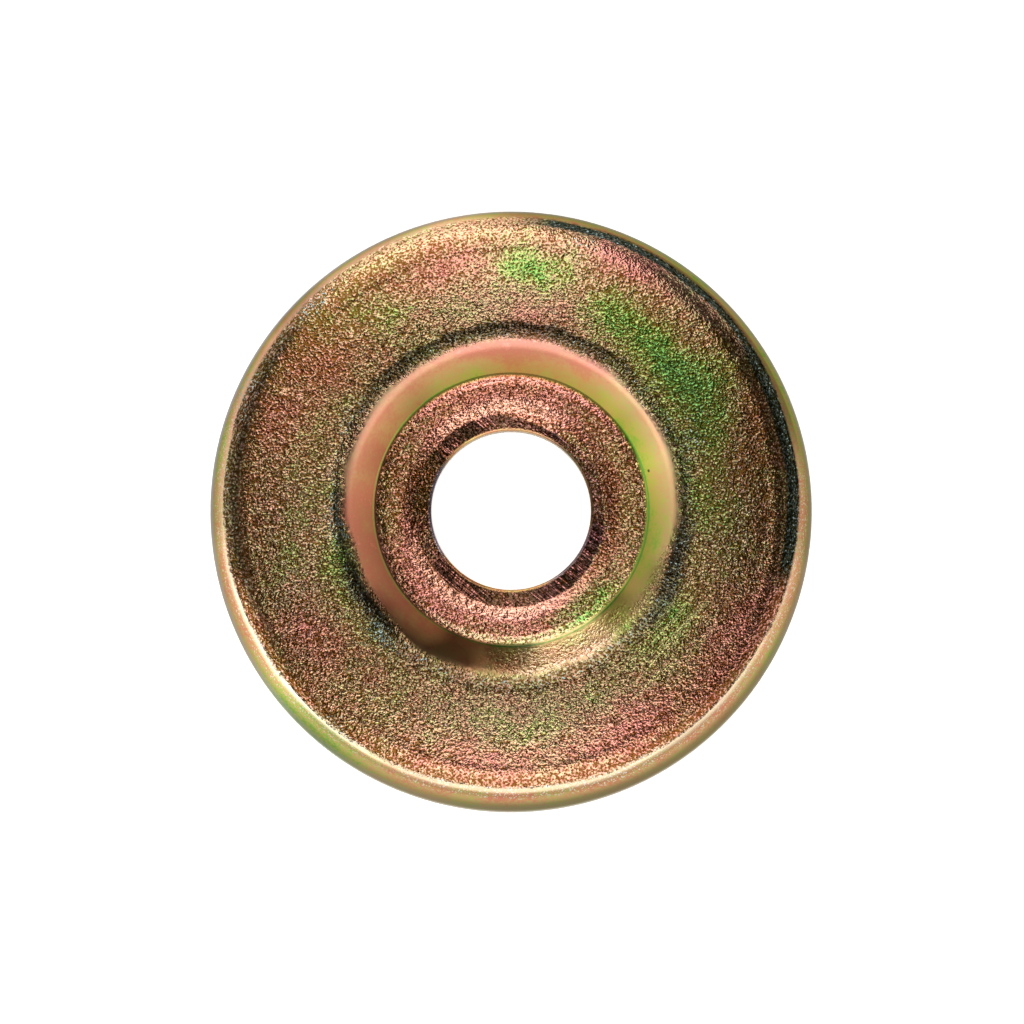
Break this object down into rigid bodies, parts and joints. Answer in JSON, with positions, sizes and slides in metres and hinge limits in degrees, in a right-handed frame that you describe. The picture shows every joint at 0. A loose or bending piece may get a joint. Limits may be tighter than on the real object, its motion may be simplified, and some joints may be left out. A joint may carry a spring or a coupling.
{
  "type": "cup washer",
  "caption": "Pressed steel cup washer with a recessed seat round its bore and a turned-down rim, for holding a rubber bush under a bolt or nut.",
  "frame": {"origin": "on the bore's axis, level with the rim's lower edge", "axes": "+Z along the bore towards the nut's side, where the recessed seat opens; the washer is round, so +X and +Y are free"},
  "size_m": [0.04, 0.04, 0.0052],
  "materials": {
    "plated_steel": "yellow chromate over zinc on pressed steel: iridescent tan with pink and green, a fine orange-peel grain, burnished smooth on the recess wall and the rim"
  },
  "bodies": {
    "root": {"washer": "plated_steel"}
  },
  "joints": []
}
